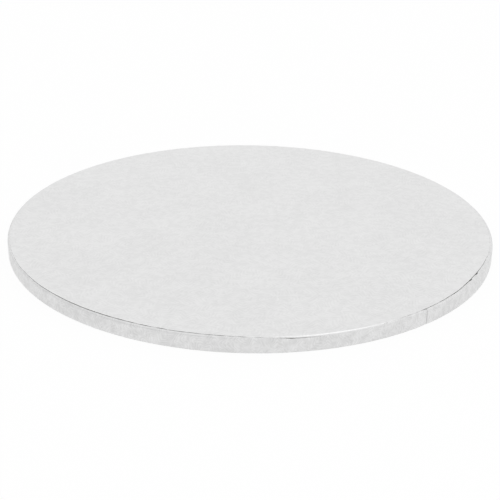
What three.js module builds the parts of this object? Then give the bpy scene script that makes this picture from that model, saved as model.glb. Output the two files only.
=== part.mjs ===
// A round silver cake board, in millimetres, +Z up, with its origin at the centre of its underside.
// A thick board core is wrapped at its rim by a foil-paper strip, which is turned over both faces.
// A foil-paper disc covers the face and a plain paper disc covers the underside.
import * as THREE from "three";
import { mergeVertices } from "three/addons/utils/BufferGeometryUtils.js";

// Overall size
const BOARD_DIAMETER = 355;
const BOARD_THICKNESS = 12;
const SHOULDER_RADIUS = 1.5; // the outer rounding of both rims

// Paper and glue
const FACE_PAPER = 0.25;
const BAND_PAPER = 0.25;
const BASE_PAPER = 0.25;
const GLUE_LINE = 0.05; // the room between two wrapped skins

// The strip round the side
const TURN_IN = 13; // from the side to the turned edge, on both faces
const LAP_LENGTH = 12; // how far the strip's tail lies over its head
const LAP_RAMP = 5; // the length in which the strip comes up from beside the lap
const SEAM_ANGLE = -49.8; // degrees from +X to the tail's cut end

// The sheets on the two faces
const FACE_MARGIN = 0.15; // from the shoulder's start to the face sheet's cut edge
const BASE_SETBACK = 6; // from the side to the base sheet's cut edge

// Finishes
const FACE_FOIL = { color: "#e6e6e8", roughness: 0.35, metalness: 1 };
const BAND_FOIL = { color: "#e2e2e4", roughness: 0.3, metalness: 1 };
const GREYBOARD = { color: "#b8aa92", roughness: 0.9, metalness: 0 };
const PLAIN_PAPER = { color: "#f2f1ee", roughness: 0.8, metalness: 0 };

// Fineness of the round surfaces
const ROUND_STEPS = 96;
const SHOULDER_STEPS = 2; // pairs of flats in each quarter round

// Worked out from the values above
const BOARD_RADIUS = BOARD_DIAMETER / 2;
const SHOULDER_CENTRE = BOARD_RADIUS - SHOULDER_RADIUS;
const WRAP_TOP = BOARD_THICKNESS - FACE_PAPER;
const WRAP_BOTTOM = BASE_PAPER;
const TURNED_EDGE = BOARD_RADIUS - TURN_IN;
const WRAP_DEPTH = BAND_PAPER + GLUE_LINE; // from a wrapped skin's outside to what lies under it

const TURN = 2 * Math.PI;
const TAIL_END = THREE.MathUtils.degToRad(SEAM_ANGLE);
const HEAD_END = TAIL_END + LAP_LENGTH / BOARD_RADIUS;
const DIP_START = TAIL_END - LAP_RAMP / BOARD_RADIUS;
const POCKET_END = HEAD_END + LAP_RAMP / BOARD_RADIUS;

// The wrapped outline in the radius-height plane, a depth below the strip's outside: in along the face
// at the top, down round both shoulders, and back in along the underside.
function wrapOutline(depth, innerRadius) {
  const upperCentre = WRAP_TOP - SHOULDER_RADIUS;
  const lowerCentre = WRAP_BOTTOM + SHOULDER_RADIUS;
  const radius = SHOULDER_RADIUS - depth;
  const outline = new THREE.Path();
  outline.moveTo(innerRadius, WRAP_TOP - depth);
  outline.absarc(SHOULDER_CENTRE, upperCentre, radius, Math.PI / 2, 0, true);
  outline.absarc(SHOULDER_CENTRE, lowerCentre, radius, 0, -Math.PI / 2, true);
  outline.lineTo(innerRadius, WRAP_BOTTOM + depth);
  return outline.getPoints(SHOULDER_STEPS);
}

// Evenly spaced angles from start to end, both included.
function anglesBetween(start, end) {
  const steps = Math.max(1, Math.round(((end - start) / TURN) * ROUND_STEPS));
  return Array.from({ length: steps + 1 }, (_, i) => start + ((end - start) * i) / steps);
}

// The rows of points that the core and the strip share: in the lap, and in the rest of the round.
const LAP_ANGLES = anglesBetween(TAIL_END, HEAD_END);
const ROUND_ANGLES = anglesBetween(POCKET_END, DIP_START + TURN);

// A section's points, placed at an angle round the board's axis.
function placeSection(section, angle) {
  return section.map((p) => new THREE.Vector3(p.x * Math.cos(angle), p.x * Math.sin(angle), p.y));
}

// Adds a triangle to the list of corners, unless two of its corners meet on the axis.
function addTriangle(corners, a, b, c) {
  if (!a.equals(b) && !b.equals(c) && !c.equals(a)) {
    corners.push(a, b, c);
  }
}

// The faces between two neighbouring rows of points, which follow each other round the axis.
function addStrip(corners, row, next, closed) {
  const last = closed ? row.length : row.length - 1;
  for (let j = 0; j < last; j++) {
    const k = (j + 1) % row.length;
    addTriangle(corners, row[j], row[k], next[k]);
    addTriangle(corners, row[j], next[k], next[j]);
  }
}

// A flat end on a row of points.
function addCap(corners, section, row, facesBack) {
  for (const [a, b, c] of THREE.ShapeUtils.triangulateShape(section, [])) {
    if (facesBack) {
      corners.push(row[a], row[c], row[b]);
    } else {
      corners.push(row[a], row[b], row[c]);
    }
  }
}

// An indexed geometry from a list of triangle corners.
function geometryOf(corners) {
  const geometry = mergeVertices(new THREE.BufferGeometry().setFromPoints(corners));
  geometry.computeVertexNormals();
  return geometry;
}

function namedMesh(name, geometry, finish) {
  const mesh = new THREE.Mesh(geometry, new THREE.MeshStandardMaterial(finish));
  mesh.name = name;
  return mesh;
}

// The core's half section, from the axis at the top to the axis underneath, its rim pressed in by a depth.
function coreProfile(depth) {
  const innerRadius = TURNED_EDGE - GLUE_LINE;
  return [
    new THREE.Vector2(0, WRAP_TOP),
    new THREE.Vector2(innerRadius, WRAP_TOP),
    ...wrapOutline(depth, innerRadius),
    new THREE.Vector2(innerRadius, WRAP_BOTTOM),
    new THREE.Vector2(0, WRAP_BOTTOM),
  ];
}

// The thick board: a disc stepped down at both rims for the strip's turned edges, with a pocket one skin
// deeper where the strip's head lies under its tail.
function coreBoard() {
  const level = coreProfile(WRAP_DEPTH);
  const pressed = coreProfile(2 * WRAP_DEPTH);
  const rows = [
    ...LAP_ANGLES.map((angle) => placeSection(pressed, angle)),
    ...ROUND_ANGLES.map((angle) => placeSection(level, angle)),
  ];
  const corners = [];
  rows.forEach((row, i) => addStrip(corners, row, rows[(i + 1) % rows.length], false));
  return namedMesh("core_board", geometryOf(corners), GREYBOARD);
}

// The strip's own section: its outside, and back along its inside.
function bandSection(depth) {
  const outside = wrapOutline(depth, TURNED_EDGE);
  const inside = wrapOutline(depth + BAND_PAPER, TURNED_EDGE);
  return [...outside, ...inside.reverse()];
}

// The foil-paper strip: from its tail over the lap, once round the board, and down under the tail to its
// pressed head.
function edgeBand() {
  const pressed = bandSection(WRAP_DEPTH);
  const level = bandSection(0);
  const tail = LAP_ANGLES.map((angle) => placeSection(level, angle));
  const round = ROUND_ANGLES.map((angle) => placeSection(level, angle));
  const head = LAP_ANGLES.map((angle) => placeSection(pressed, angle));
  const rows = [...tail, ...round, ...head];
  const corners = [];
  rows.slice(1).forEach((row, i) => addStrip(corners, rows[i], row, true));
  addCap(corners, level, rows[0], false);
  addCap(corners, pressed, rows[rows.length - 1], true);
  return namedMesh("edge_band", geometryOf(corners), BAND_FOIL);
}

// A flat round sheet that lies on the height given.
function roundSheet(name, radius, bottom, thickness, finish) {
  const outline = [
    new THREE.Vector2(0, bottom),
    new THREE.Vector2(radius, bottom),
    new THREE.Vector2(radius, bottom + thickness),
    new THREE.Vector2(0, bottom + thickness),
  ];
  const geometry = new THREE.LatheGeometry(outline, ROUND_STEPS).rotateX(Math.PI / 2);
  return namedMesh(name, geometry, finish);
}

// The embossed foil sheet on the face, which hides the strip's turned-in edge.
function topFoil() {
  return roundSheet("top_foil", SHOULDER_CENTRE - FACE_MARGIN, WRAP_TOP, FACE_PAPER, FACE_FOIL);
}

// The plain sheet that the board stands on, glued over the strip's turned-under edge.
function basePaper() {
  return roundSheet("base_paper", BOARD_RADIUS - BASE_SETBACK, 0, BASE_PAPER, PLAIN_PAPER);
}

const board = new THREE.Group();
board.add(coreBoard(), edgeBand(), topFoil(), basePaper());

export default board;
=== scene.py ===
"""Looks of a round silver cake board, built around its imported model, in metres."""

import logging
import math
from dataclasses import dataclass
from enum import Enum

import bpy
import numpy as np
from mathutils import Matrix, Vector


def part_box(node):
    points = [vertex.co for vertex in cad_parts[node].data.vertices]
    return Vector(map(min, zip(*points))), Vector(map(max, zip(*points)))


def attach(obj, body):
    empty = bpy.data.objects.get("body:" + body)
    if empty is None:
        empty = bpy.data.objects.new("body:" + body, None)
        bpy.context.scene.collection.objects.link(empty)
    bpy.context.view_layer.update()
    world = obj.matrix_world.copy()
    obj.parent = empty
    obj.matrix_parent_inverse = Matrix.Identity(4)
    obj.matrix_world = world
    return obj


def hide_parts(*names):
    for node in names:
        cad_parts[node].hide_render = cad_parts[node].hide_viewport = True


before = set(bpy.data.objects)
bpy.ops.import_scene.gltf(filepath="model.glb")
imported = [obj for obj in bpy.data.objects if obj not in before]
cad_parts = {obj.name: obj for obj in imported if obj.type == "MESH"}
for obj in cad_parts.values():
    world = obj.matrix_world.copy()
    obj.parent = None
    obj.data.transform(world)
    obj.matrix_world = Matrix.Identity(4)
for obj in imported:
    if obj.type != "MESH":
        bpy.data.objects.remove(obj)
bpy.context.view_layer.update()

LOG = logging.getLogger("cake_board")
BODY = "root"
MM = 0.001
TURN = 2 * math.pi
HALF_TURN_DEGREES = 180.0
QUARTER_TURN_DEGREES = 90.0

# Noise and mapping settings that the finishes share
FINE_DETAIL = 2.0
CLOUD_DETAIL = 3.0
FIBRE_DETAIL = 4.0
UNIT_RANGE = (0.0, 1.0)
RANGE_ENDS = ("From Min", "From Max", "To Min", "To Max")


class Slot(Enum):
    """The record's material slot names; the new pieces are not given them here."""

    FACE_FOIL = "face_foil"
    BAND_FOIL = "band_foil"
    WHITE_PAPER = "white_paper"


def smooth_rise(x: np.ndarray) -> np.ndarray:
    """Gives 3x^2 - 2x^3 with x held between 0 and 1: a smooth step from 0 to 1.

    Args:
        x: Any array.

    Returns:
        The stepped array, of the same shape.
    """
    held = np.clip(x, 0.0, 1.0)
    return held * held * (3.0 - 2.0 * held)


def azimuth_of(angle: np.ndarray) -> np.ndarray:
    """Turns angles from +X into azimuths.

    Args:
        angle: Angles in radians.

    Returns:
        Degrees from the front, which is -Y, towards the right.
    """
    return np.degrees(angle) + QUARTER_TURN_DEGREES


@dataclass(frozen=True)
class Stretch:
    """A stretch of the rim along which something rises and falls like a bell.

    The height is in metres, and the middle and the width are in degrees of azimuth.
    """

    height: float
    middle: float
    width: float

    def at(self, azimuth: np.ndarray) -> np.ndarray:
        """Gives height * exp(-((azimuth - middle) / width)^2), going the shorter way round.

        Args:
            azimuth: Degrees from the front, towards the right.

        Returns:
            The bell's height at each azimuth.
        """
        whole = 2 * HALF_TURN_DEGREES
        away = (azimuth - self.middle + HALF_TURN_DEGREES) % whole - HALF_TURN_DEGREES
        return self.height * np.exp(-((away / self.width) ** 2))


def added_up(azimuth: np.ndarray, stretches: tuple[Stretch, ...]) -> np.ndarray:
    """Adds up several stretches of the rim.

    Args:
        azimuth: Degrees from the front, towards the right.
        stretches: The stretches.

    Returns:
        The sum of their heights at each azimuth.
    """
    return np.sum([stretch.at(azimuth) for stretch in stretches], axis=0)


@dataclass(frozen=True)
class Ripple:
    """An irregular wave round the rim, made of whole numbers of waves so that it closes on itself.

    The height is in metres, and the lowest and the highest are numbers of waves a turn.
    """

    height: float
    seed: int
    lowest: int
    highest: int

    def at(self, angle: np.ndarray) -> np.ndarray:
        """Gives height * sqrt(2 / terms) times the sum over n of cos(n * angle + shift_n).

        Here n runs from the lowest to the highest number of waves, and each n has its random shift.

        Args:
            angle: Angles in radians.

        Returns:
            The wave at each angle.
        """
        waves = np.arange(self.lowest, self.highest + 1)
        shifts = np.random.default_rng(self.seed).uniform(0.0, TURN, len(waves))
        total = np.zeros_like(angle)
        for number, shift in zip(waves, shifts):
            total += np.cos(number * angle + shift)
        return self.height * math.sqrt(2.0 / len(waves)) * total


@dataclass(frozen=True)
class BoardSize:
    """The board's own sizes.

    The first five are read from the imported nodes' boxes, and the others are the part's own values.
    """

    radius: float
    wrap_top: float
    wrap_bottom: float
    top: float
    base_radius: float
    shoulder: float = 1.5 * MM
    turn_in: float = 13 * MM
    paper: float = 0.25 * MM
    glue_line: float = 0.05 * MM

    @classmethod
    def from_frame(cls) -> "BoardSize":
        """Reads the board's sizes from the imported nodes.

        Returns:
            The sizes.
        """
        band_low, band_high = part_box("edge_band")
        _, sheet_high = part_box("top_foil")
        _, base_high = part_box("base_paper")
        return cls(
            radius=max(-band_low.x, band_high.x),
            wrap_top=band_high.z,
            wrap_bottom=band_low.z,
            top=sheet_high.z,
            base_radius=base_high.x,
        )

    @property
    def flat_radius(self) -> float:
        """The radius at which the rounded shoulder starts."""
        return self.radius - self.shoulder

    @property
    def bend(self) -> float:
        """The strip's length round one shoulder."""
        return self.shoulder * TURN / 4

    @property
    def flange(self) -> float:
        """The strip's flat length on one face."""
        return self.turn_in - self.shoulder

    @property
    def straight(self) -> float:
        """The strip's upright length between the shoulders."""
        return self.wrap_top - self.wrap_bottom - 2 * self.shoulder


@dataclass(frozen=True)
class LeafPattern:
    """The all-over leaf embossing that foil papers of this kind commonly have.

    Leaves are the cells round scattered points. Each cell has its own direction, and a point belongs to
    the leaf whose centre is nearest when distance along the leaf counts less than distance across it.
    """

    cell: float = 9.5 * MM
    stretch: float = 1.45
    skirt: float = 2.2 * MM
    neighbours: int = 2
    seed: int = 11

    def at(self, x: np.ndarray, y: np.ndarray) -> np.ndarray:
        """Finds each point's place in its leaf.

        Args:
            x: First coordinates on the flat paper, in metres.
            y: Second coordinates.

        Returns:
            An array of rows (along the leaf, across it, distance from its outline), in metres.
        """
        column = np.floor(x / self.cell).astype(int)
        row = np.floor(y / self.cell).astype(int)
        first_column = column.min() - self.neighbours
        first_row = row.min() - self.neighbours
        beyond = self.neighbours + 1
        shape = (row.max() - first_row + beyond, column.max() - first_column + beyond)
        random = np.random.default_rng(self.seed)
        jitter_x, jitter_y, heading = random.uniform(0.0, 1.0, (3, *shape))
        nearest = np.full(x.shape, np.inf)
        second = np.full(x.shape, np.inf)
        along = np.zeros_like(x)
        across = np.zeros_like(x)
        for step_row in range(-self.neighbours, beyond):
            for step_column in range(-self.neighbours, beyond):
                j = row + step_row - first_row
                i = column + step_column - first_column
                dx = x - (column + step_column + jitter_x[j, i]) * self.cell
                dy = y - (row + step_row + jitter_y[j, i]) * self.cell
                turn = heading[j, i] * TURN
                u = dx * np.cos(turn) + dy * np.sin(turn)
                v = dy * np.cos(turn) - dx * np.sin(turn)
                distance = np.hypot(u / self.stretch, v * self.stretch)
                closer = distance < nearest
                second = np.where(closer, nearest, np.minimum(second, distance))
                along = np.where(closer, u, along)
                across = np.where(closer, v, across)
                nearest = np.where(closer, distance, nearest)
        return np.column_stack([along, across, second - nearest])

    def dome(self, leaf: np.ndarray, depth: float) -> np.ndarray:
        """Gives the swell of each leaf: depth times a smooth rise over the skirt, in from its outline.

        Args:
            leaf: Rows from at().
            depth: The height of a leaf above the furrows between leaves.

        Returns:
            The height of each point.
        """
        return depth * smooth_rise(leaf[:, 2] / self.skirt)


def disc_map(steps: int) -> tuple[np.ndarray, np.ndarray]:
    """Maps a square grid to the unit disc, keeping areas alike.

    A point (a, b) of the square goes to radius max(|a|, |b|), and to the angle that its place along its
    own square ring gives, so that the outermost ring has evenly spaced angles.

    Args:
        steps: The number of squares along a side, an even number.

    Returns:
        The radius and the angle of each grid point, row by row.
    """
    b, a = np.meshgrid(np.linspace(-1, 1, steps + 1), np.linspace(-1, 1, steps + 1), indexing="ij")
    wide = np.abs(a) >= np.abs(b)
    reach = np.where(wide, a, b)
    share = np.divide(np.where(wide, b, a), reach, out=np.zeros_like(a), where=reach != 0)
    angle = np.where(wide, share * TURN / 8, TURN / 4 - share * TURN / 8)
    angle = angle + np.where(reach < 0, TURN / 2, 0.0)
    return np.abs(reach).ravel(), angle.ravel()


def square_border(steps: int) -> np.ndarray:
    """Lists the vertices of a square grid's border, once round, anticlockwise from the first corner.

    Args:
        steps: The number of squares along a side.

    Returns:
        The vertex numbers.
    """
    number = np.arange((steps + 1) ** 2).reshape(steps + 1, steps + 1)
    return np.concatenate([number[0, :-1], number[:-1, -1], number[-1, :0:-1], number[:0:-1, 0]])


def grid_quads(rows: int, columns: int, closed: bool) -> np.ndarray:
    """Lists the quads between neighbouring rows and columns of a grid.

    Args:
        rows: The number of rows.
        columns: The number of vertices in a row.
        closed: Whether a row's last vertex joins its first.

    Returns:
        Vertex numbers, four to a quad.
    """
    number = np.arange(rows * columns).reshape(rows, columns)
    after = np.roll(number, -1, axis=1)
    if not closed:
        number, after = number[:, :-1], after[:, :-1]
    quads = np.stack([number[:-1], after[:-1], after[1:], number[1:]], axis=-1)
    return quads.reshape(-1, 4)


@dataclass
class Surface:
    """A mesh being gathered: its points, quads and many-sided faces."""

    points: np.ndarray
    quads: np.ndarray
    lids: list[np.ndarray]

    def to_object(self, name: str) -> bpy.types.Object:
        """Makes the object, smooth shaded, with its normals as the faces are wound.

        Args:
            name: The object's name.

        Returns:
            The new object, at the origin.
        """
        mesh = bpy.data.meshes.new(name)
        faces = self.quads.tolist() + [lid.tolist() for lid in self.lids]
        mesh.from_pydata(self.points.tolist(), [], faces)
        mesh.polygons.foreach_set("use_smooth", np.ones(len(mesh.polygons), dtype=bool))
        mesh.update()
        made = bpy.data.objects.new(name, mesh)
        bpy.context.scene.collection.objects.link(made)
        return made


def add_vectors(piece: bpy.types.Object, name: str, rows: np.ndarray) -> None:
    """Stores a vector for each vertex, for a material to read.

    Args:
        piece: The mesh object.
        name: The attribute's name.
        rows: One row of three numbers for each vertex.
    """
    attribute = piece.data.attributes.new(name, "FLOAT_VECTOR", "POINT")
    attribute.data.foreach_set("vector", np.ascontiguousarray(rows, dtype=np.float32).ravel())


def dress(piece: bpy.types.Object, *materials: bpy.types.Material) -> None:
    """Gives a piece its materials, in the order of its slots.

    Args:
        piece: The mesh object.
        materials: The materials.
    """
    piece.data.materials.clear()
    for material in materials:
        piece.data.materials.append(material)


def paint_faces(piece: bpy.types.Object, faces: np.ndarray, slot: int, smooth: bool) -> None:
    """Gives some faces another of the piece's materials.

    Args:
        piece: The mesh object.
        faces: Whether each face is one of them.
        slot: The number of the material.
        smooth: Whether those faces are smooth shaded.
    """
    count = len(piece.data.polygons)
    chosen = np.zeros(count, dtype=np.int32)
    chosen[faces] = slot
    piece.data.polygons.foreach_set("material_index", chosen)
    shading = np.ones(count, dtype=bool)
    shading[faces] = smooth
    piece.data.polygons.foreach_set("use_smooth", shading)
    piece.data.update()


class NodeSheet:
    """A material's node tree, with short calls for the nodes that the finishes use."""

    def __init__(self, name: str) -> None:
        """Starts a material with one Principled shader.

        Args:
            name: The material's name.
        """
        self.material = bpy.data.materials.new(name)
        self.material.use_nodes = True
        self.tree = self.material.node_tree
        self.tree.nodes.clear()
        self.shader = self.tree.nodes.new("ShaderNodeBsdfPrincipled")
        output = self.tree.nodes.new("ShaderNodeOutputMaterial")
        self.tree.links.new(self.shader.outputs["BSDF"], output.inputs["Surface"])

    def put(self, socket: bpy.types.NodeSocket, value: object) -> None:
        """Links an output to a socket, or sets the socket's own value.

        Args:
            socket: The input socket.
            value: Another node's output, or the value.
        """
        if isinstance(value, bpy.types.NodeSocket):
            self.tree.links.new(value, socket)
        else:
            socket.default_value = value

    def math(self, operation: str, *values: object) -> bpy.types.NodeSocket:
        """Adds a Math node.

        Args:
            operation: The node's operation.
            values: Its inputs, each a number or another node's output.

        Returns:
            The node's output.
        """
        node = self.tree.nodes.new("ShaderNodeMath")
        node.operation = operation
        for socket, value in zip(node.inputs, values):
            self.put(socket, value)
        return node.outputs[0]

    def place(self) -> bpy.types.NodeSocket:
        """Gives the point on the object, in the object's own coordinates."""
        return self.tree.nodes.new("ShaderNodeTexCoord").outputs["Object"]

    def attribute(self, name: str) -> list[bpy.types.NodeSocket]:
        """Reads a vertex attribute.

        Args:
            name: The attribute's name.

        Returns:
            The three numbers that it holds.
        """
        node = self.tree.nodes.new("ShaderNodeAttribute")
        node.attribute_name = name
        parts = self.tree.nodes.new("ShaderNodeSeparateXYZ")
        self.tree.links.new(node.outputs["Vector"], parts.inputs[0])
        return list(parts.outputs)

    def noise(self, place: bpy.types.NodeSocket, wave: float, detail: float) -> bpy.types.NodeSocket:
        """Adds a Noise texture.

        Args:
            place: The coordinates.
            wave: The size of its largest blotches, in metres.
            detail: Its detail.

        Returns:
            The noise, about 0.5.
        """
        node = self.tree.nodes.new("ShaderNodeTexNoise")
        self.put(node.inputs["Vector"], place)
        node.inputs["Scale"].default_value = 1.0 / wave
        node.inputs["Detail"].default_value = detail
        return node.outputs["Fac"]

    def spread(
        self,
        value: bpy.types.NodeSocket,
        source: tuple[float, float],
        target: tuple[float, float],
    ) -> bpy.types.NodeSocket:
        """Maps one range smoothly to another.

        Args:
            value: The input.
            source: The input's two ends.
            target: The output's two ends.

        Returns:
            The mapped value, held within the target range.
        """
        node = self.tree.nodes.new("ShaderNodeMapRange")
        node.interpolation_type = "SMOOTHSTEP"
        for end, number in zip(RANGE_ENDS, (*source, *target)):
            node.inputs[end].default_value = number
        self.put(node.inputs["Value"], value)
        return node.outputs[0]

    def tint(
        self,
        value: bpy.types.NodeSocket,
        dark: tuple[float, float, float],
        light: tuple[float, float, float],
    ) -> None:
        """Drives the base colour between two colours.

        Args:
            value: From 0 at the dark colour to 1 at the light one.
            dark: The first colour.
            light: The second colour.
        """
        node = self.tree.nodes.new("ShaderNodeMix")
        node.data_type = "RGBA"
        self.put(node.inputs["Factor"], value)
        node.inputs["A"].default_value = (*dark, 1.0)
        node.inputs["B"].default_value = (*light, 1.0)
        self.tree.links.new(node.outputs["Result"], self.shader.inputs["Base Color"])

    def relief(self, height: bpy.types.NodeSocket, depth: float) -> None:
        """Adds a Bump node under the shader.

        Args:
            height: The relief, in any unit.
            depth: The real depth of one such unit, in metres.
        """
        node = self.tree.nodes.new("ShaderNodeBump")
        node.inputs["Strength"].default_value = 1.0
        node.inputs["Distance"].default_value = depth
        self.tree.links.new(height, node.inputs["Height"])
        self.tree.links.new(node.outputs["Normal"], self.shader.inputs["Normal"])


@dataclass(frozen=True)
class SilverFoil:
    """Bright foil laminated on paper, embossed with leaves and fine veins.

    Its tone goes from the silver less the contrast to the silver plus the contrast, and the shares say
    how much the veins, the grain, the flecks and the blotches count in it. The veins' share is painted
    shading of the embossing: lighter on the crests, darker in the furrows. The fleck range and the soft
    range are the parts of a noise that are spread out.
    """

    name: str
    silver: float
    roughness: float
    contrast: float
    vein_shading_share: float
    vein_spacing: float = 2.4 * MM
    vein_height: float = 0.02 * MM
    grain_height: float = 0.04 * MM
    rake: float = 0.7
    curl: float = 70.0
    drift: float = 3.0 * MM
    outline: float = 2.2 * MM
    grain: float = 1.6 * MM
    fleck: float = 3.6 * MM
    blotch: float = 11.0 * MM
    grain_share: float = 0.3
    fleck_share: float = 0.3
    blotch_share: float = 0.16
    fleck_range: tuple[float, float] = (0.35, 0.65)
    soft_range: tuple[float, float] = (0.3, 0.7)
    smoother: float = 0.03
    rougher: float = 0.05

    def material(self) -> bpy.types.Material:
        """Makes the foil's material.

        The relief on a leaf is a wave along the leaf, raked back and curled away from its midrib, which
        drifts a little and fades out at the leaf's outline. A fine grain covers all. The silver is
        brighter on the crests and darker in the furrows, which is painted shading of the embossing, and
        brighter at random in flecks and in soft blotches.

        Returns:
            A bright metal with that relief.
        """
        sheet = NodeSheet(self.name)
        place = sheet.place()
        grain = sheet.noise(place, self.grain, FINE_DETAIL)
        speckle = sheet.noise(place, self.fleck, CLOUD_DETAIL)
        flecks = sheet.spread(speckle, self.fleck_range, UNIT_RANGE)
        clouds = sheet.noise(place, self.blotch, CLOUD_DETAIL)
        blotches = sheet.spread(clouds, self.soft_range, UNIT_RANGE)
        along, across, edge = sheet.attribute("leaf")
        side = sheet.math("ABSOLUTE", across)
        bend = sheet.math("MULTIPLY", side, sheet.math("MULTIPLY_ADD", side, self.curl, self.rake))
        raked = sheet.math("SUBTRACT", sheet.math("MULTIPLY_ADD", flecks, self.drift / 2, along), bend)
        wave = sheet.math("SINE", sheet.math("MULTIPLY", raked, TURN / self.vein_spacing))
        fade = sheet.spread(edge, (0.0, self.outline), UNIT_RANGE)
        veins = sheet.math("MULTIPLY", wave, fade)
        height = sheet.math("MULTIPLY_ADD", veins, self.vein_height / self.grain_height, grain)
        sheet.relief(height, self.grain_height)
        parts = ((self.grain_share, grain), (self.fleck_share, flecks), (self.blotch_share, blotches))
        middle = 0.5 - sum(share for share, _ in parts) / 2
        # Painted shading of the embossing: the tone rises on the vein crests and falls in the furrows.
        tone = sheet.math("MULTIPLY_ADD", veins, self.vein_shading_share, middle)
        for share, part in parts:
            tone = sheet.math("MULTIPLY_ADD", part, share, tone)
        dark = self.silver * (1.0 - self.contrast)
        light = self.silver * (1.0 + self.contrast)
        sheet.tint(tone, (dark, dark, dark), (light, light, light))
        rough_range = (self.roughness - self.smoother, self.roughness + self.rougher)
        sheet.put(sheet.shader.inputs["Roughness"], sheet.spread(grain, self.soft_range, rough_range))
        sheet.shader.inputs["Metallic"].default_value = 1.0
        return sheet.material


@dataclass(frozen=True)
class Paper:
    """Uncoated paper or board, with fibres and a faint cloudy look."""

    name: str
    dark: tuple[float, float, float]
    light: tuple[float, float, float]
    fibre: float = 0.6 * MM
    fibres_in_cloud: float = 35.0
    depth: float = 0.02 * MM
    roughness: float = 0.85

    def material(self) -> bpy.types.Material:
        """Makes the paper's material.

        Its colour goes from dark to light with the mean of the fibres and the clouds.

        Returns:
            A matt surface with a fibrous relief.
        """
        sheet = NodeSheet(self.name)
        place = sheet.place()
        fibres = sheet.noise(place, self.fibre, FIBRE_DETAIL)
        clouds = sheet.noise(place, self.fibres_in_cloud * self.fibre, CLOUD_DETAIL)
        half_clouds = sheet.math("MULTIPLY", clouds, 0.5)
        sheet.tint(sheet.math("MULTIPLY_ADD", fibres, 0.5, half_clouds), self.dark, self.light)
        sheet.relief(fibres, self.depth)
        sheet.shader.inputs["Roughness"].default_value = self.roughness
        return sheet.material


GREYBOARD = Paper("greyboard", (0.36, 0.31, 0.24), (0.60, 0.54, 0.45), fibre=1.5 * MM, roughness=0.9)
BASE_SHEET = Paper("base_sheet_paper", (0.80, 0.79, 0.76), (0.92, 0.91, 0.88))
# Near black: painted shade standing in for the shadow in the gap under the face sheet's cut edge, not the
# paper's own colour.
CUT_EDGE_SHADE = Paper("cut_edge_painted_shade", (0.05, 0.05, 0.05), (0.14, 0.14, 0.13), fibre=0.8 * MM)
STRIP_END = Paper("strip_end_paper", (0.58, 0.58, 0.57), (0.76, 0.76, 0.75), fibre=0.8 * MM)
FACE_FOIL = SilverFoil(
    "face_foil_silver",
    silver=0.770,
    roughness=0.33,
    contrast=0.052,
    vein_shading_share=0.25,
    vein_spacing=3.4 * MM,
    vein_height=0.012 * MM,
    fleck=4.4 * MM,
    blotch=26.0 * MM,
    fleck_share=0.45,
    blotch_share=0.25,
)
# The band's silver is set a little below the face foil's: painted shade that darkens the side against the
# face.
BAND_FOIL = SilverFoil("band_foil_silver", silver=0.75, roughness=0.40, contrast=0.14, vein_shading_share=0.17)


# Where the turned-in strip lies below the face's plane, at the left and at the right
SHOULDER_SAGS = (
    Stretch(0.13 * MM, -44.0, 18.0),
    Stretch(0.15 * MM, 59.0, 12.0),
)


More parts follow.
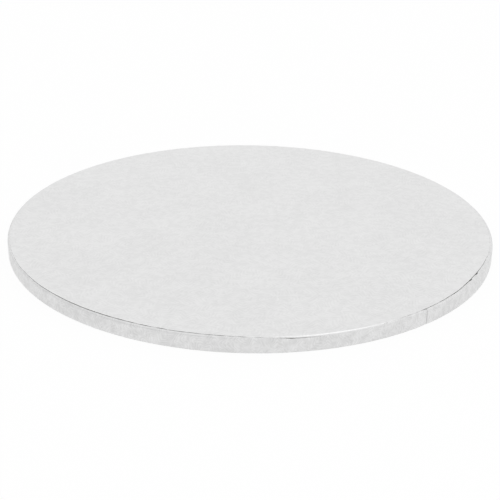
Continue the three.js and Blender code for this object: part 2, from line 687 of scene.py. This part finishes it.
@dataclass
class FaceSheet:
    """The embossed foil sheet on the face.

    Its cut edge wanders: at the right it stops short of the rim, and at the front it is rolled a little
    way down over the rounded shoulder. The overlaps say how far past the shoulder's start the edge lies,
    the lifts how far it stands off the strip, and the last stretches how far the band of painted shade at
    its cut edge reaches: near-black faces standing in for the shadow in the gap under the edge.
    Within the flush width the sheet sinks from its plane to its edge's height, and within the calm width
    of the shoulder its unevenness fades out.
    """

    size: BoardSize
    pattern: LeafPattern = LeafPattern(cell=12.0 * MM)
    squares: int = 268
    rim_width: float = 8 * MM
    rim_rings: int = 14
    rim_crowding: float = 1.8
    flush_width: float = 1.2 * MM
    calm_width: float = 2 * MM
    dome_depth: float = 0.03 * MM
    wave_depth: float = 0.06 * MM
    wave_lengths: tuple[float, float] = (50 * MM, 180 * MM)
    wave_count: int = 7
    wave_seed: int = 3
    overlaps: tuple[Stretch, ...] = (
        Stretch(0.45 * MM, -58.0, 16.0),  # the left
        Stretch(-0.25 * MM, -28.0, 7.0),  # between the left and the front
        Stretch(0.4 * MM, 4.0, 8.0),  # the front, where the roll starts
        Stretch(2.55 * MM, 18.0, 14.0),  # the roll at the front right
        Stretch(-1.7 * MM, 61.0, 11.0),  # the right
        Stretch(-0.6 * MM, 85.0, 18.0),  # beyond the right
    )
    overlap_ripple: Ripple = Ripple(0.06 * MM, seed=5, lowest=20, highest=70)
    least_lift: float = 0.02 * MM
    even_lift: float = 0.08 * MM
    lifts: tuple[Stretch, ...] = (
        Stretch(0.2 * MM, -44.0, 19.0),  # the left
        Stretch(0.04 * MM, -8.0, 14.0),  # left of the front
        Stretch(0.18 * MM, 8.3, 1.8),  # the torn spot
        Stretch(0.13 * MM, 10.5, 5.0),  # beside the torn spot
        Stretch(-0.1 * MM, 29.0, 9.0),  # pressed flush
        Stretch(0.22 * MM, 57.5, 12.5),  # the right
    )
    lift_ripple: Ripple = Ripple(0.05 * MM, seed=8, lowest=60, highest=180)
    # The cut edge is painted near black as shade of the gap under the sheet's edge. These numbers say how
    # far that band reaches, and the nicks are dots of that painted shade.
    edge_shade_share: float = 0.3
    edge_shade_stretches: tuple[Stretch, ...] = (
        Stretch(0.3 * MM, 8.3, 1.0),  # the torn spot
        Stretch(0.26 * MM, 10.5, 4.0),  # beside the torn spot
        Stretch(0.85 * MM, 58.7, 0.7),  # a nick
        Stretch(0.85 * MM, 62.4, 0.7),  # a second nick
        Stretch(0.08 * MM, 60.0, 8.0),  # the right
    )

    def reach(self, azimuth: np.ndarray) -> np.ndarray:
        """Gives how far past the shoulder's start the sheet's edge lies: the overlaps and their ripple.

        Args:
            azimuth: Degrees from the front, towards the right.

        Returns:
            The length along the surface, in metres.
        """
        return added_up(azimuth, self.overlaps) + self.overlap_ripple.at(np.radians(azimuth))

    def edge_height(self, azimuth: np.ndarray) -> np.ndarray:
        """Gives how far the sheet's cut edge stands off the strip.

        Args:
            azimuth: Degrees from the front, towards the right.

        Returns:
            The height in metres: least where the edge is pressed flush, and never above the sheet's plane.
        """
        lift = self.even_lift + added_up(azimuth, self.lifts) + self.lift_ripple.at(np.radians(azimuth))
        return np.clip(lift, self.least_lift, self.plane)

    def fringe(self, azimuth: np.ndarray, edge_height: np.ndarray) -> np.ndarray:
        """Gives how far the cut edge's band of painted shade reaches past the foil.

        A share of the edge's height, and the stretches listed for that band.

        Args:
            azimuth: Degrees from the front, towards the right.
            edge_height: The height of the cut edge.

        Returns:
            The length along the surface, in metres.
        """
        return self.edge_shade_share * edge_height + added_up(azimuth, self.edge_shade_stretches)

    @property
    def plane(self) -> float:
        """The height of the sheet's middle plane, low enough for its swells to stay within its thickness."""
        return self.size.paper - self.dome_depth / 2 - self.wave_depth / 2

    def skin(self, angle: np.ndarray, arc: np.ndarray, lift: np.ndarray) -> np.ndarray:
        """Places points on the board's face and shoulder.

        On the face a point is at radius arc. Past the shoulder's start it goes round a quarter circle
        about the shoulder's centre, whose radius is the shoulder's plus the lift.

        Args:
            angle: The angle from +X, in radians.
            arc: The length along the surface from the board's middle.
            lift: The height above the turned-in strip.

        Returns:
            The points.
        """
        size = self.size
        past = np.maximum(arc - size.flat_radius, 0.0) / (size.shoulder + size.paper)
        swing = size.shoulder + lift
        radius = np.minimum(arc, size.flat_radius) + swing * np.sin(past)
        height = size.wrap_top - size.shoulder + swing * np.cos(past)
        return np.column_stack([radius * np.cos(angle), radius * np.sin(angle), height])

    def build(self) -> bpy.types.Object:
        """Builds the sheet.

        The middle is a square grid mapped to a disc. Rings carry on from its border to the cut edge, down
        the edge and back underneath, where one face closes the sheet.

        Returns:
            The sheet's object.
        """
        size = self.size
        radius, angle = disc_map(self.squares)
        inner = size.flat_radius - self.rim_width
        middle_arc = radius * inner
        border = square_border(self.squares)
        rim_angle = angle[border]
        azimuth = azimuth_of(rim_angle)
        edge = size.flat_radius + self.reach(azimuth)
        share = 1.0 - (1.0 - np.arange(1, self.rim_rings + 1) / self.rim_rings) ** self.rim_crowding
        ring_arc = inner + share[:, None] * (edge - inner)[None, :]
        edge_height = self.edge_height(azimuth)
        flush = smooth_rise((edge[None, :] - ring_arc) / self.flush_width)
        ring_lift = edge_height + flush * (self.plane - edge_height)
        foot_arc = edge + self.fringe(azimuth, edge_height)
        rings = np.concatenate([ring_arc, [foot_arc, np.full_like(edge, inner)]])
        sag = added_up(azimuth, SHOULDER_SAGS)
        lifts = np.concatenate([ring_lift, [-sag, np.zeros_like(edge)]])
        arcs = np.concatenate([middle_arc, rings.ravel()])
        angles = np.concatenate([angle, np.tile(rim_angle, len(rings))])
        lift = np.concatenate([np.full_like(middle_arc, self.plane), lifts.ravel()])
        leaf = self.pattern.at(arcs * np.cos(angles), arcs * np.sin(angles))
        on_top = np.arange(len(arcs)) < len(middle_arc) + ring_arc.size
        calm = smooth_rise((size.flat_radius - arcs) / self.calm_width)
        swell = self.pattern.dome(leaf, self.dome_depth) - self.dome_depth / 2
        lift = lift + np.where(on_top, swell + calm * self.waves(arcs, angles), 0.0)
        points = self.skin(angles, arcs, lift)
        surface = Surface(points, self.faces(len(border), len(middle_arc), border, len(rings)), [])
        surface.lids.append(len(points) - 1 - np.arange(len(border)))
        piece = surface.to_object("top_foil_sheet")
        add_vectors(piece, "leaf", leaf)
        self.mark_edge(piece, len(middle_arc) + (self.rim_rings - 1) * len(border), len(border))
        return piece

    def waves(self, arc: np.ndarray, angle: np.ndarray) -> np.ndarray:
        """Gives the sheet's slight unevenness: sines of the place in several directions.

        The sum over the wave lengths of length * sin(TURN * distance along a random heading / length +
        a random shift), brought to the wave depth.

        Args:
            arc: The length along the surface from the board's middle.
            angle: The angle from +X, in radians.

        Returns:
            The height of each point.
        """
        x, y = arc * np.cos(angle), arc * np.sin(angle)
        total = np.zeros_like(x)
        random = np.random.default_rng(self.wave_seed)
        for length in np.geomspace(*self.wave_lengths, self.wave_count):
            heading, shift = random.uniform(0.0, TURN, 2)
            total += np.sin((x * math.cos(heading) + y * math.sin(heading)) * TURN / length + shift) * length
        return total / np.abs(total).max() * self.wave_depth / 2

    def faces(self, around: int, middle: int, border: np.ndarray, rings: int) -> np.ndarray:
        """Lists the sheet's quads: the middle grid's, and those between the rings.

        Args:
            around: The number of vertices in a ring.
            middle: The number of vertices in the middle grid.
            border: The middle grid's border vertices.
            rings: The number of rings outside it.

        Returns:
            Vertex numbers, four to a quad.
        """
        number = np.concatenate([border, middle + np.arange(around * rings)])
        side = self.squares + 1
        outside = number[grid_quads(rings + 1, around, True)][:, ::-1]
        return np.concatenate([grid_quads(side, side, False), outside])

    def mark_edge(self, piece: bpy.types.Object, first: int, around: int) -> None:
        """Gives the cut edge its own material slot, painted near black as shade of the gap under the sheet's
        edge.

        Args:
            piece: The sheet.
            first: The first vertex of the outermost ring on top.
            around: The number of vertices in a ring.
        """
        dress(piece, FACE_FOIL.material(), CUT_EDGE_SHADE.material())
        corners = np.array([max(face.vertices) for face in piece.data.polygons])
        on_edge = (corners >= first + around) & (corners < first + 2 * around)
        paint_faces(piece, on_edge, 1, False)


@dataclass
class EdgeStrip:
    """The foil-paper strip that goes round the side and is turned over both rims, with one lap.

    The steps are the outside's, across the upper flange, the upper bend, the side, the lower bend and
    the lower flange. The inside stations are numbers of the outside's, counted from the bottom edge: the
    two edges, three round the lower bend and four round the upper one. The gathers grow inwards over the
    gather run, and their hollows are held to a share of their height. The sag beside the face sheet's
    edge fades out over the sag run: down from the strip's top, and inwards to the sag inset.
    """

    size: BoardSize
    pattern: LeafPattern = LeafPattern(seed=29)
    seam: float = math.radians(-49.8)
    lap: float = 12 * MM
    ramp: float = 5 * MM
    skive: float = 4 * MM
    skive_depth: float = 0.16 * MM
    row_step: float = 0.85 * MM
    steps: tuple[int, ...] = (3, 7, 11, 6, 9)
    inside_stations: tuple[int, ...] = (0, 9, 12, 15, 26, 29, 32, 33, 36)
    dome_depth: float = 0.035 * MM
    gathers: Ripple = Ripple(0.06 * MM, seed=17, lowest=120, highest=260)
    gather_hollow: float = 0.4
    gather_run: float = 4 * MM
    sag_run: float = 3 * MM
    sag_inset: float = 5 * MM

    def outline(self) -> np.ndarray:
        """Lists the stations across the strip's outside, from its top edge to its bottom edge.

        Returns:
            Lengths along the developed width, crowded where the strip bends.
        """
        size = self.size
        stops = np.cumsum([0.0, size.flange, size.bend, size.straight, size.bend, size.flange])
        parts = [np.linspace(a, b, n, endpoint=False) for a, b, n in zip(stops, stops[1:], self.steps)]
        return np.append(np.concatenate(parts), stops[-1])

    def section(self, width: np.ndarray, depth: np.ndarray) -> tuple[np.ndarray, np.ndarray]:
        """Bends the strip's width round the rim: flat, quarter circle, upright, quarter circle, flat.

        Args:
            width: Stations along the developed width.
            depth: How far in from the strip's outside.

        Returns:
            The radius and the height of each station.
        """
        size = self.size
        half_side = size.straight / 2
        half = size.flange + size.bend + half_side
        from_middle = np.abs(width - half)
        round_part = np.clip(from_middle - half_side, 0.0, size.bend) / size.shoulder
        inward = np.maximum(from_middle - half_side - size.bend, 0.0)
        swing = size.shoulder - depth
        radius = size.flat_radius + swing * np.cos(round_part) - inward
        rise = np.minimum(from_middle, half_side) + swing * np.sin(round_part)
        middle = (size.wrap_top + size.wrap_bottom) / 2
        return radius, middle + np.where(width < half, rise, -rise)

    def gathered(self, angle: np.ndarray, width: np.ndarray) -> np.ndarray:
        """Gives the small gathers of the turned-under flange: waves round the board that grow inwards.

        Args:
            angle: The angle from +X, in radians, as a column.
            width: Stations along the developed width, as a row.

        Returns:
            How far each point stands out from the strip.
        """
        start = self.outline()[-1] - self.size.flange - self.size.bend / 2
        grow = smooth_rise((width - start) / self.gather_run)
        deepest = -self.gather_hollow * self.gathers.height
        return grow * np.maximum(self.gathers.at(angle), deepest)

    def build(self) -> bpy.types.Object:
        """Builds the strip as one closed body: its section, carried once round the board and over the lap.

        Returns:
            The strip's object.
        """
        size = self.size
        whole = TURN * size.radius
        rows = int(round((whole + self.lap) / self.row_step))
        run = np.linspace(0.0, whole + self.lap, rows + 1)
        angle = self.seam + run / size.radius
        dip = smooth_rise((run - (whole - self.ramp)) / self.ramp) * (size.paper + size.glue_line)
        outside = self.outline()
        inside = outside[::-1][list(self.inside_stations)]
        width = np.concatenate([outside, inside])
        is_inside = np.arange(len(width)) >= len(outside)
        run_grid, width_grid = np.meshgrid(run, width, indexing="ij")
        leaf = self.pattern.at(run_grid.ravel(), width_grid.ravel())
        swell = self.pattern.dome(leaf, self.dome_depth).reshape(run_grid.shape) - self.dome_depth
        swell = swell + self.gathered(angle[:, None], width[None, :])
        skived = smooth_rise(1.0 - run / self.skive) * self.skive_depth
        depth = dip[:, None] + np.where(is_inside, size.paper, skived[:, None] - swell)
        radius, height = self.section(width_grid, depth)
        upper = smooth_rise((height - size.wrap_top + self.sag_run) / self.sag_run)
        outer = smooth_rise((radius - size.flat_radius + self.sag_inset) / self.sag_run)
        height = height - upper * outer * added_up(azimuth_of(angle), SHOULDER_SAGS)[:, None]
        points = np.stack(
            [radius * np.cos(angle)[:, None], radius * np.sin(angle)[:, None], height], axis=-1
        ).reshape(-1, 3)
        around = len(width)
        lids = [np.arange(around)[::-1], rows * around + np.arange(around)]
        surface = Surface(points, grid_quads(rows + 1, around, True), lids)
        piece = surface.to_object("edge_band_strip")
        add_vectors(piece, "leaf", leaf)
        dress(piece, BAND_FOIL.material(), STRIP_END.material())
        ends = np.zeros(len(piece.data.polygons), dtype=bool)
        ends[-len(lids):] = True
        paint_faces(piece, ends, 1, False)
        return piece


@dataclass
class BaseSheet:
    """The plain paper sheet glued underneath."""

    size: BoardSize
    squares: int = 120
    edge_round: float = 0.08 * MM
    wave_depth: float = 0.03 * MM
    wave_along: float = 70 * MM
    wave_across: float = 90 * MM
    wave_shift: float = 1.0

    def build(self) -> bpy.types.Object:
        """Builds the sheet: a disc whose upper side is flat and whose lower side is a little uneven.

        The unevenness is a sine along the sheet times a sine across it, and fades towards the edge.

        Returns:
            The sheet's object.
        """
        size = self.size
        radius, angle = disc_map(self.squares)
        border = square_border(self.squares)
        x = radius * size.base_radius * np.cos(angle)
        y = radius * size.base_radius * np.sin(angle)
        along = np.sin(x * TURN / self.wave_along + self.wave_shift)
        across = np.sin(y * TURN / self.wave_across)
        uneven = along * across * (1.0 - radius**4)
        bottom = np.column_stack([x, y, self.wave_depth * (0.5 + 0.5 * uneven)])
        edge = bottom[border]
        upright = edge + (0.0, 0.0, self.edge_round)
        around = len(border)
        rim = np.column_stack([upright[:, :2], np.full(around, size.wrap_bottom)])
        points = np.concatenate([bottom, upright, rim])
        count = len(bottom)
        number = np.concatenate([border, count + np.arange(2 * around)])
        side = self.squares + 1
        quads = np.concatenate([
            grid_quads(side, side, False)[:, ::-1],
            number[grid_quads(len(number) // around, around, True)],
        ])
        surface = Surface(points, quads, [count + around + np.arange(around)])
        piece = surface.to_object("base_paper_sheet")
        dress(piece, BASE_SHEET.material())
        return piece


@dataclass
class Board:
    """The whole board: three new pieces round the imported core."""

    size: BoardSize

    def assemble(self) -> None:
        """Builds each piece, ties it to the body and hides the imported node that it stands in for."""
        self.fit(FaceSheet(self.size).build(), "top_foil")
        self.fit(EdgeStrip(self.size).build(), "edge_band")
        self.fit(BaseSheet(self.size).build(), "base_paper")
        self.dress_core()

    def fit(self, piece: bpy.types.Object, node: str) -> None:
        """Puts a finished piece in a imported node's place.

        Args:
            piece: The finished piece.
            node: The node that it stands for.
        """
        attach(piece, BODY)
        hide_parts(node)
        LOG.info("%s: %d faces", piece.name, len(piece.data.polygons))

    def dress_core(self) -> None:
        """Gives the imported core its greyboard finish."""
        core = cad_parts["core_board"]
        dress(core, GREYBOARD.material())
        LOG.info("%s: dressed", core.name)


@dataclass(frozen=True)
class SoftLamp:
    """A soft box: an area lamp that faces a point."""

    name: str
    place: tuple[float, float, float]
    width: float
    height: float
    power: float

    def light(self, target: Vector) -> None:
        """Hangs the lamp and turns it to the target.

        Args:
            target: The point that it faces.
        """
        data = bpy.data.lights.new(self.name, "AREA")
        data.shape = "RECTANGLE"
        data.size = self.width
        data.size_y = self.height
        data.energy = self.power
        lamp = bpy.data.objects.new(self.name, data)
        lamp.location = self.place
        lamp.rotation_euler = (target - Vector(self.place)).to_track_quat("-Z", "Y").to_euler()
        bpy.context.scene.collection.objects.link(lamp)


@dataclass
class Studio:
    """A plain white studio: floor, surround and soft lamps."""

    floor_width: float = 30.0
    floor_paint: tuple[float, float, float] = (0.95, 0.95, 0.95)
    floor_white: float = 0.95
    surround: float = 0.95
    left_shade: float = 0.25
    left_direction: tuple[float, float, float] = (-0.7, -0.34, -1.2)
    left_range: tuple[float, float] = (-0.6, 0.9)
    lamps: tuple[SoftLamp, ...] = (
        SoftLamp("overhead_soft_box", place=(0.60, -0.45, 1.1), width=0.34, height=0.9, power=0.88),
    )

    def build(self) -> None:
        """Sets up the floor, the surround and the lamps."""
        self.lay_floor()
        self.hang_surround()
        for lamp in self.lamps:
            lamp.light(Vector((0.0, 0.0, 0.0)))
        bpy.context.scene.view_settings.view_transform = "Standard"

    def seen(self, tree: bpy.types.NodeTree) -> bpy.types.NodeSocket:
        """Tells whether a ray comes from the camera or from a mirror or glass.

        Args:
            tree: The node tree to add the nodes to.

        Returns:
            1 for such a ray and 0 for any other.
        """
        path = tree.nodes.new("ShaderNodeLightPath")
        total = path.outputs["Is Camera Ray"]
        for name in ("Is Glossy Ray", "Is Transmission Ray"):
            node = tree.nodes.new("ShaderNodeMath")
            node.operation = "MAXIMUM"
            tree.links.new(total, node.inputs[0])
            tree.links.new(path.outputs[name], node.inputs[1])
            total = node.outputs[0]
        return total

    def lay_floor(self) -> None:
        """Lays a wide pale floor that looks white and keeps a share of the board's shadow."""
        half = self.floor_width / 2
        corners = [(-half, -half, 0.0), (half, -half, 0.0), (half, half, 0.0), (-half, half, 0.0)]
        mesh = bpy.data.meshes.new("studio_floor")
        mesh.from_pydata(corners, [], [(0, 1, 2, 3)])
        floor = bpy.data.objects.new("studio_floor", mesh)
        bpy.context.scene.collection.objects.link(floor)
        material = bpy.data.materials.new("studio_floor_white")
        material.use_nodes = True
        tree = material.node_tree
        tree.nodes.clear()
        matt = tree.nodes.new("ShaderNodeBsdfDiffuse")
        matt.inputs["Color"].default_value = (*self.floor_paint, 1.0)
        white = tree.nodes.new("ShaderNodeEmission")
        mix = tree.nodes.new("ShaderNodeMixShader")
        share = tree.nodes.new("ShaderNodeMath")
        share.operation = "MULTIPLY"
        share.inputs[1].default_value = self.floor_white
        output = tree.nodes.new("ShaderNodeOutputMaterial")
        tree.links.new(self.seen(tree), share.inputs[0])
        tree.links.new(share.outputs[0], mix.inputs["Fac"])
        tree.links.new(matt.outputs[0], mix.inputs[1])
        tree.links.new(white.outputs[0], mix.inputs[2])
        tree.links.new(mix.outputs[0], output.inputs["Surface"])
        dress(floor, material)

    def hang_surround(self) -> None:
        """Surrounds the scene with white that darkens smoothly towards the front left, low down.

        The colour is white less a smooth step of the direction's part along the left direction, and
        plain white where the camera sees it. Its strength is 1 where it is seen or mirrored, a little
        less as light.
        """
        world = bpy.data.worlds.new("studio_surround")
        world.use_nodes = True
        tree = world.node_tree
        background = next(node for node in tree.nodes if node.type == "BACKGROUND")
        leftward = tree.nodes.new("ShaderNodeVectorMath")
        leftward.operation = "DOT_PRODUCT"
        leftward.inputs[1].default_value = self.left_direction
        tree.links.new(tree.nodes.new("ShaderNodeTexCoord").outputs["Generated"], leftward.inputs[0])
        shade = tree.nodes.new("ShaderNodeMapRange")
        shade.interpolation_type = "SMOOTHSTEP"
        for end, number in zip(RANGE_ENDS, (*self.left_range, 1.0, 1.0 - self.left_shade)):
            shade.inputs[end].default_value = number
        tree.links.new(leftward.outputs["Value"], shade.inputs["Value"])
        white_where_seen = tree.nodes.new("ShaderNodeMath")
        white_where_seen.operation = "MAXIMUM"
        tree.links.new(shade.outputs[0], white_where_seen.inputs[0])
        path = tree.nodes.new("ShaderNodeLightPath")
        tree.links.new(path.outputs["Is Camera Ray"], white_where_seen.inputs[1])
        tree.links.new(white_where_seen.outputs[0], background.inputs["Color"])
        level = tree.nodes.new("ShaderNodeMapRange")
        level.inputs["To Min"].default_value = self.surround
        level.inputs["To Max"].default_value = 1.0
        tree.links.new(self.seen(tree), level.inputs["Value"])
        tree.links.new(level.outputs[0], background.inputs["Strength"])
        bpy.context.scene.world = world


@dataclass(frozen=True)
class Viewpoint:
    """The photograph's camera, worked out from the board's outline in it."""

    elevation: float = math.radians(22.966)
    roll: float = math.radians(0.883)
    pitch: float = math.radians(-1.267)
    distance: float = 0.89243
    lens_mm: float = 86.4
    sensor_mm: float = 36.0

    def stand(self, target: Vector) -> None:
        """Puts the camera in place.

        Args:
            target: The middle of the board's face.
        """
        back = Vector((0.0, -math.cos(self.elevation), math.sin(self.elevation)))
        up = Vector((0.0, math.sin(self.elevation), math.cos(self.elevation)))
        forward = (up * math.tan(self.pitch) - back).normalized()
        right = forward.cross(Vector((0.0, 0.0, 1.0))).normalized()
        level_up = right.cross(forward)
        side = right * math.cos(self.roll) + level_up * math.sin(self.roll)
        top = level_up * math.cos(self.roll) - right * math.sin(self.roll)
        data = bpy.data.cameras.new("photo_camera")
        data.lens = self.lens_mm
        data.sensor_width = self.sensor_mm
        camera = bpy.data.objects.new("photo_camera", data)
        turn = Matrix((side, top, -forward)).transposed().to_4x4()
        camera.matrix_world = Matrix.Translation(target + back * self.distance) @ turn
        bpy.context.scene.collection.objects.link(camera)
        bpy.context.scene.camera = camera


def main() -> None:
    """Builds the board, the studio and the camera, in that order."""
    logging.basicConfig(level=logging.INFO, format="%(message)s")
    size = BoardSize.from_frame()
    Board(size).assemble()
    Studio().build()
    Viewpoint().stand(Vector((0.0, 0.0, size.top)))


if __name__ == "__main__":
    main()
